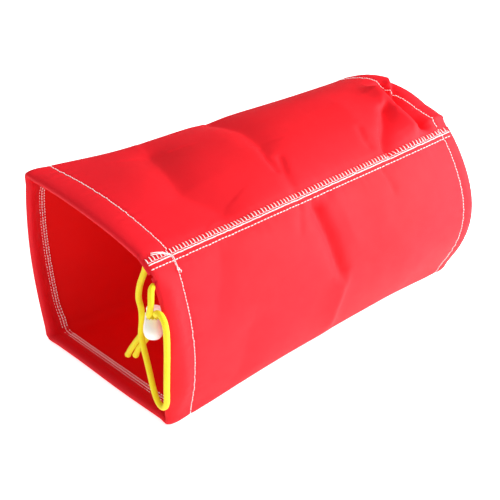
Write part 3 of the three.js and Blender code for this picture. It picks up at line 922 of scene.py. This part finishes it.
def lock_body():
    """The egg, waisted towards its rim, with the cord hole, the plunger's slot and the well."""
    low = [(radius, LOCK_BOTTOM + height) for radius, height in EGG]
    egg = smooth_line([*low, (0.0083, LOCK_RIM - 0.0022), (0.0083, LOCK_RIM - 0.0005)], 0.0008)
    rim = ((0.0078, LOCK_RIM), (0.0, LOCK_RIM))
    vertices, faces = lathe([*egg, *rim], 72)
    obj = lock_solid(
        "lock_body", vertices, faces, LOCK_WHITE, "cord_lock_body", "cord_lock"
    )
    pocket = block("pocket", 0.0074, 0.0028, PLUNGER_FOOT - 0.0018, LOCK_RIM + 0.001)
    well = block("well", 0.0026, 0.0026, WELL_FLOOR, PLUNGER_FOOT)
    for cutter in (hole_cutter(), pocket, well):
        combine(obj, "DIFFERENCE", cutter)
    obj.data.shade_smooth()
    return obj


def lock_button():
    dome = smooth_line([(radius, BUTTON_UNDER + height) for radius, height in DOME], 0.0005)
    vertices, faces = lathe([(0.0, BUTTON_UNDER), *dome, (0.0, BUTTON_UNDER + DOME_HEIGHT)], 64)
    head = lock_solid(
        "lock_button", vertices, faces, BUTTON_MILKY, "cord_lock_button", "lock_button",
    )
    stem = block("stem", 0.0071, 0.0025, PLUNGER_FOOT, BUTTON_UNDER + 0.001)
    slot = block("slot", HOLE_WIDTH / 2, 0.006, -CORD / 2 - 0.0003, HOLE_TOP + PRESS_TRAVEL)
    combine(head, "UNION", stem)
    combine(head, "DIFFERENCE", slot)
    head.data.shade_smooth()
    return head


def lock_spring():
    turns, radius, wire = 6, 0.002, 0.0008
    low, high = WELL_FLOOR + wire, PLUNGER_FOOT - wire
    share = np.linspace(0, 1, turns * 24 + 1)
    angle = 2 * math.pi * turns * share
    line = np.array([from_lock(radius * math.cos(a), radius * math.sin(a), mix(low, high, t))
                     for a, t in zip(angle, share)])
    mesh = tubes("lock_spring", [line], [carried_ups(line)], wire / 2, 10)
    obj = add_object(
        "lock_spring", mesh, SPRING_STEEL, "cord_lock", ["cord_lock_spring"]
    )
    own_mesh(obj)


def declare_cords():
    for obj, line in cord_ends:
        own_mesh(obj)


body = lock_body()
button = lock_button()
lock_spring()
declare_cords()


# ----------------------------------------------------------
# The cloth: one sheet, its ends folded in as hems

# From raw edge to fold: distance from the mouth and depth of the cloth's middle under the face.
CHANNEL_PROFILE = (
    (FRONT_RAW_EDGE, 0.0024), (0.027, 0.0018), (0.020, 0.0034), (0.0130, 0.0070),
    (0.0075, 0.0082), (0.0028, 0.0070), (0.0004, 0.0036), (0.0011, 0.0012), (0.0040, CLOTH / 2),
)
NARROW_PROFILE = (
    (0.0070, 0.0046), (0.0050, 0.0050), (0.0024, 0.0050), (0.0004, 0.0036), (0.0011, 0.0012),
    (0.0040, CLOTH / 2),
)
REAR_PROFILE = (
    (0.0040, CLOTH / 2), (0.0012, 0.0006), (0.0004, 0.0013), (0.0012, 0.0022), (0.0060, 0.0031),
    (0.0120, 0.0027), (0.0170, 0.0018), (REAR_RAW_EDGE, 0.0023),
)
CHANNEL_ROWS = 30
ROW_STEP = 0.0031
FINE_STEP = 0.0012
# Shares of the way around where the spacing of the columns changes, and the columns in between:
# close at the seam, fine over the crown, coarse under the far side, fine up the seamed side.
COLUMN_MARKS = (0.0, 0.028, 0.30, 0.72, 0.972, 1.0)
COLUMN_COUNTS = (14, 88, 54, 72, 14)


def profile_rows(points, rows):
    return evenly(smooth_line(points, 0.0002), rows)


def panel_rows():
    """Places along Y, closer together at the two stitch lines."""
    marks = (
        FRONT + 0.004, FRONT_STITCH - 0.006, FRONT_STITCH + 0.006, REAR_STITCH - 0.006, REAR - 0.004,
    )
    rows = []
    for start, end, step in zip(marks, marks[1:], (0.002, FINE_STEP, ROW_STEP, FINE_STEP)):
        rows.extend(np.linspace(start, end, round((end - start) / step), endpoint=False))
    return np.array([*rows, marks[-1]])


def column_shares():
    """Shares of the way from the hidden edge to the lap's edge."""
    shares = []
    for start, end, count in zip(COLUMN_MARKS, COLUMN_MARKS[1:], COLUMN_COUNTS):
        shares.extend(np.linspace(start, end, count, endpoint=False))
    return np.array([*shares, 1.0])


def cloth_grid():
    """Points of the cloth's middle, with cloth coordinates for the weave and a mask of cells."""
    channel = profile_rows(CHANNEL_PROFILE, CHANNEL_ROWS)
    narrow = profile_rows(NARROW_PROFILE, CHANNEL_ROWS)
    rear = profile_rows(REAR_PROFILE, 16)
    rows = panel_rows()
    flat = np.full(len(rows) - 2, CLOTH / 2)

    def along_cloth(hem):
        y = np.concatenate([FRONT + hem[:, 0], rows[1:-1], REAR - rear[:, 0]])
        return y, np.concatenate([hem[:, 1], flat, rear[:, 1]])

    y_channel, depth_channel = along_cloth(channel)
    y_narrow, depth_narrow = along_cloth(narrow)
    turned_front = np.arange(len(y_channel)) < CHANNEL_ROWS - 8
    turned_rear = np.arange(len(y_channel)) > len(y_channel) - 14

    shares = column_shares()
    girth = skin.girth(y_channel)
    first, last = LAP_UNDER + seam_drift(y_channel), girth + LAP_EDGE + seam_drift(y_channel)
    around = first[:, None] + (last - first)[:, None] * shares
    at_mouth = shares * girth[0] + LAP_UNDER
    in_channel = (at_mouth > CHANNEL_START) & (at_mouth < girth[0] - CHANNEL_END)
    y = np.where(in_channel, y_channel[:, None], y_narrow[:, None])
    depth = np.where(in_channel, depth_channel[:, None], depth_narrow[:, None])
    outer = ~(turned_front | turned_rear)
    dip = np.where(outer[:, None], stitch_dip(y), 0.0)
    points = skin.at(around, y, -depth - dip - lap_drop(around, y))[0]

    slit = in_channel[1:] != in_channel[:-1]
    lapped = around[0, 1:] > girth[0] - 0.010
    keep = ~(turned_front[:-1, None] & (slit | lapped)) & ~(turned_rear[1:, None] & lapped)
    along = lengths_along(np.stack([y_channel, depth_channel], axis=1))
    return points, around, np.broadcast_to(along[:, None], around.shape), keep


def make_cloth():
    points, around, along, keep = cloth_grid()
    rows, columns = around.shape
    index = np.arange(rows * columns).reshape(rows, columns)
    corners = np.stack([index[:-1, :-1], index[1:, :-1], index[1:, 1:], index[:-1, 1:]], axis=-1)
    faces = corners[keep]
    uvs = np.stack([around.ravel(), along.ravel()], axis=1)[faces.ravel()]
    mesh = build_mesh("tunnel_cloth", points.reshape(-1, 3), faces.tolist(), uvs)
    obj = add_object(
        "tunnel_cloth", mesh, OUTER_CLOTH, "tunnel",
        ["main_panel", "front_hem_turnback", "rear_hem_turnback"],
    )
    mesh.materials.append(REVERSE_CLOTH)
    thicken = obj.modifiers.new("thickness", "SOLIDIFY")
    thicken.thickness = CLOTH
    thicken.offset = 0
    thicken.use_even_offset = False
    thicken.material_offset = 1
    apply_modifiers(obj)
    drop_loose_vertices(obj.data)
    obj.data.shade_smooth()


def drop_loose_vertices(mesh):
    edit = bmesh.new()
    edit.from_mesh(mesh)
    bmesh.ops.delete(edit, geom=[v for v in edit.verts if not v.link_faces], context="VERTS")
    edit.to_mesh(mesh)
    edit.free()


make_cloth()


# ----------------------------------------------------------
# Threads

THREAD = 0.00045
STITCH = 0.0036
SEAM_PITCH_FRONT = 0.0037
SEAM_PITCH_REAR = 0.0052
HEM_PITCH = 0.0034
STITCH_RINGS = 7
WOBBLE = 0.0001


def seam_places(y_first, y_last):
    """Where the seam's stitches start; they were sewn longer and longer towards the rear."""
    places = [y_first]
    while places[-1] < y_last:
        share = (places[-1] - FRONT) / LENGTH
        places.append(places[-1] + mix(SEAM_PITCH_FRONT, SEAM_PITCH_REAR, share))
    return np.array(places)


def over_cloth(around, y, lift):
    """Points just over the outer layer, following its stitch dips."""
    return skin.at(around, y, lift - stitch_dip(y))


def under_cloth(depth):
    """Points inside the tunnel, a depth under the outer face."""
    def place(around, y, lift):
        points, outward = skin.at(around, y, -depth - lift)
        return points, -outward
    return place


def stitches(name, place, runs, radius=THREAD, tip=1.0):
    """A thread for each run of (start, end) as cloth coordinates, arched so that its ends sink in.
    Its radius at the end is tip times that at the start."""
    share = np.linspace(0, 1, STITCH_RINGS)[None, :]
    arch = radius * (0.9 - 1.9 * np.abs(2 * share - 1) ** 4)
    starts, ends = np.array([r[0] for r in runs]), np.array([r[1] for r in runs])
    around = mix(starts[:, :1], ends[:, :1], share)
    y = mix(starts[:, 1:], ends[:, 1:], share)
    lines, ups = place(around, y, arch)
    blunt = np.sqrt(np.clip(1 - np.abs(2 * share[0] - 1) ** 6, 0.15, 1)) * mix(1, tip, share[0])
    return tubes(name, lines, ups, (radius * blunt)[:, None], 8)


def joined(name, parts, node):
    """Several stitch meshes as one piece that stands for a CAD thread node."""
    obj = add_object(name, parts[0], THREAD_WHITE, "tunnel", [node])
    edit = bmesh.new()
    for part in parts:
        edit.from_mesh(part)
    edit.to_mesh(obj.data)
    edit.free()
    obj.data.shade_smooth()
    return obj


def along_seam(offset, fill=0.80):
    """Runs for a line of stitches along the seam, a distance around from its middle."""
    runs = []
    places = seam_places(FRONT + 0.0025, REAR - 0.0100)
    for y, next_y in zip(places, places[1:]):
        around = seam_drift(y) + offset + random.normal(0, WOBBLE)
        runs.append(((around, y), (around, mix(y, next_y, fill))))
    return runs


def around_hem(y, first, last, pitch=STITCH, fill=0.82):
    """Runs for a line of stitches around the sleeve."""
    runs = []
    for around in np.arange(first, last - pitch, pitch):
        shift = random.normal(0, WOBBLE)
        runs.append(((around, y + shift), (around + pitch * fill, y + shift)))
    return runs


def ladder(foot, edge, y_first, y_last):
    """The overlock's bars, each a needle thread's loop pulled out to a point over the raw edge,
    and the short hooks between their feet."""
    bars, hooks = [], []
    places = seam_places(y_first, y_last)
    for y, next_y in zip(places, places[1:]):
        lean = random.normal(0, 0.00015)
        drift = seam_drift(y)
        tip = edge + random.normal(0, 0.0002)
        bars.append(((drift + foot, y), (drift + tip, y + lean)))
        hooks.append(((drift + foot + 0.0006, y), (drift + foot, mix(y, next_y, 0.8))))
    return bars, hooks


def seam_threads():
    over = over_cloth
    inside = under_cloth(CLOTH + LAP_STEP)
    bars, hooks = ladder(0.0016, LAP_EDGE + 0.0010, FRONT + 0.0030, REAR - 0.0080)
    lines = (
        ("overlock", [stitches("bars", over, bars, 0.00056, tip=0.75),
                      stitches("hooks", over, hooks, 0.00032)]),
        ("topstitch", [stitches("solid", over, along_seam(0.0, 1.15), 0.00060)]),
        ("lockstitch", [stitches("dashes", over, along_seam(LOCKSTITCH_AT, 0.74), 0.00052)]),
        ("topstitch_bobbin", [stitches("bobbin", inside, along_seam(-0.0003))]),
        ("lockstitch_bobbin", [stitches("bobbin", inside, along_seam(LOCKSTITCH_AT))]),
    )
    for name, parts in lines:
        joined(f"seam_{name}", parts, f"seam_{name}_thread")


def hem_threads(side, stitch_y, raw_edge_y, inwards, last_gap):
    """The stitch line outside, its bobbin line inside and the overlock on the raw edge."""
    girth = float(skin.girth(stitch_y))
    first, last = CHANNEL_START + 0.001, girth - last_gap
    edge = under_cloth(0.0022 + CLOTH / 2)
    needle_y, purl_y = raw_edge_y - inwards * 0.0038, raw_edge_y - inwards * 0.0001
    outside = around_hem(stitch_y, LAP_EDGE + 0.002, girth + LAP_EDGE, fill=0.9)
    bobbin = around_hem(stitch_y - inwards * 0.0022, first, last, fill=0.66)
    zigzag = []
    for k, around in enumerate(np.arange(first, last - HEM_PITCH, HEM_PITCH)):
        start, end = (needle_y, purl_y) if k % 2 else (purl_y, needle_y)
        zigzag.append(((around, start), (around + HEM_PITCH, end)))
    overlock = [
        stitches(name, edge, around_hem(y, first, last, HEM_PITCH, 0.66), 0.00038)
        for name, y in (("needle", needle_y), ("purls", purl_y))
    ]
    overlock.append(stitches("zigzag", edge, zigzag, 0.00008))
    lines = (
        ("stitches", "stitch", [stitches("line", over_cloth, outside)]),
        ("bobbin", "bobbin", [stitches("line", under_cloth(0.0018 + CLOTH / 2), bobbin, 0.00034)]),
        ("overlock", "overlock", overlock),
    )
    for name, node, parts in lines:
        joined(f"{side}_hem_{name}", parts, f"{side}_hem_{node}_thread")


seam_threads()
hem_threads("front", FRONT_STITCH, FRONT + FRONT_RAW_EDGE, 1, CHANNEL_END + 0.001)
hem_threads("rear", REAR_STITCH, REAR - REAR_RAW_EDGE, -1, 0.012)


def thread_line(name, waypoints, radius=THREAD):
    """A loose thread on the cloth. Its waypoints are the distance around from the seam corner, the
    distance from the hem's stitch line and the lift."""
    line = smooth_line([(a, FRONT_STITCH + y, lift) for a, y, lift in waypoints], 0.0008)
    points, ups = over_cloth(line[:, 0], line[:, 1], line[:, 2])
    return tubes(name, [points], [carried_ups(points)], radius, 8)


def thread_ends():
    joined("thread_tail", [
        thread_line("tail", ((0.002, -0.001, 0.0012), (0.006, -0.008, 0.0016),
                             (0.009, -0.018, 0.0010))),
        thread_line("tail", ((0.0035, -0.001, 0.0012), (0.0075, -0.009, 0.0018),
                             (0.0105, -0.017, 0.0012))),
    ], "hem_thread_tail")
    joined("thread_knot", [
        thread_line("loop", (
            (-0.0112, 0.0, 0.0006), (-0.0122, 0.0010, 0.0014), (-0.0134, 0.0004, 0.0019),
            (-0.0130, -0.0010, 0.0017), (-0.0116, -0.0006, 0.0012), (-0.0120, 0.0006, 0.0006),
        ), 0.0006),
        thread_line("end", ((-0.0130, 0.0, 0.0010), (-0.0148, 0.0022, 0.0014),
                            (-0.0165, 0.0016, 0.0008))),
        thread_line("doubled", ((0.002, 0.0006, 0.0013), (-0.006, 0.0008, 0.0010),
                                (-0.012, 0.0, 0.0010))),
    ], "hem_thread_knot")


thread_ends()


# ----------------------------------------------------------
# Floor, light and background

FLOOR_HALF = 6.0
FLOOR_GAP = 0.0005
FLOOR_GLOW = 0.75
WORLD_STRENGTH = 0.46
MIDDLE = (0.0, 0.0, 0.1)
# Name, place, what it points at, size, power, and whether reflections show it.
LIGHTS = (
    ("key", (0.75, 0.66, 0.52), (0.1, 0.05, 0.12), 0.40, 17, True),
    ("fill", (0.4, -1.6, 1.0), MIDDLE, 1.0, 1.5, False),
    ("overhead", (-0.2, 0.3, 1.6), MIDDLE, 1.0, 7, False),
)


def add_floor():
    corners = FLOOR_HALF * np.array([(-1, -1, 0), (1, -1, 0), (1, 1, 0), (-1, 1, 0)])
    surface = Surface("floor", Base_Color=(0.93, 0.93, 0.93, 1), Roughness=0.9,
                      Specular_IOR_Level=0.1, Emission_Color=(1, 1, 1, 1),
                      Emission_Strength=FLOOR_GLOW)
    floor = place_object("floor", build_mesh("floor", corners, [(0, 1, 2, 3)]))
    floor.data.materials.append(surface.material)
    floor.location.z = -FLOOR_GAP


def add_light():
    world = bpy.data.worlds.new("studio")
    world.use_nodes = True
    background = world.node_tree.nodes["Background"]
    background.inputs["Color"].default_value = (1, 1, 1, 1)
    background.inputs["Strength"].default_value = WORLD_STRENGTH
    world.cycles_visibility.glossy = False
    bpy.context.scene.world = world
    for name, location, target, size, power, glossy in LIGHTS:
        light = place_object(name, bpy.data.lights.new(name, "AREA"))
        light.data.shape = "DISK"
        light.data.size = size
        light.data.energy = power
        light.visible_glossy = glossy
        light.location = location
        aim(light, Vector(target) - Vector(location))
    bpy.context.scene.view_settings.view_transform = "Standard"


add_floor()
add_light()
